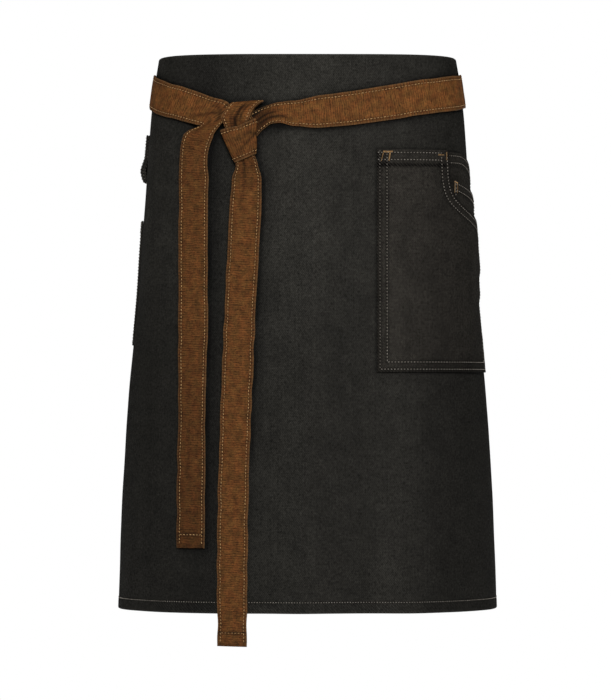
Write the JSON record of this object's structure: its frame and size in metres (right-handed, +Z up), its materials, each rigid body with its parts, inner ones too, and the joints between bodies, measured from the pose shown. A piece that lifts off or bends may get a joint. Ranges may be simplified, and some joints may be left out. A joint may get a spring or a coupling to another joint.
{
  "type": "waist apron",
  "caption": "Dark denim waist apron, open at the back, held by brown cloth ties knotted in front, with a scooped front pocket, a side pocket and a side loop.",
  "frame": {"origin": "the middle of the waist hollow, at the height where the ties pass the sides", "axes": "+Z up along the wearer, -Y the front with the knot, +X the side with the scooped pocket"},
  "size_m": [0.3494, 0.2276, 0.5296],
  "materials": {
    "dark_denim": "matt near-black denim twill",
    "pocket_denim": "matt near-black denim twill, a little browner",
    "brown_denim": "matt rust brown denim twill",
    "gold_thread": "golden sewing thread",
    "tan_thread": "dull tan sewing thread"
  },
  "bodies": {
    "root": {"apron_panel": "dark_denim", "pocket_facing": "pocket_denim", "coin_pocket": "pocket_denim", "utility_pocket": "pocket_denim", "side_pocket": "dark_denim", "side_loop": "dark_denim", "tie_short": "brown_denim", "tie_long": "brown_denim"}
  },
  "joints": []
}
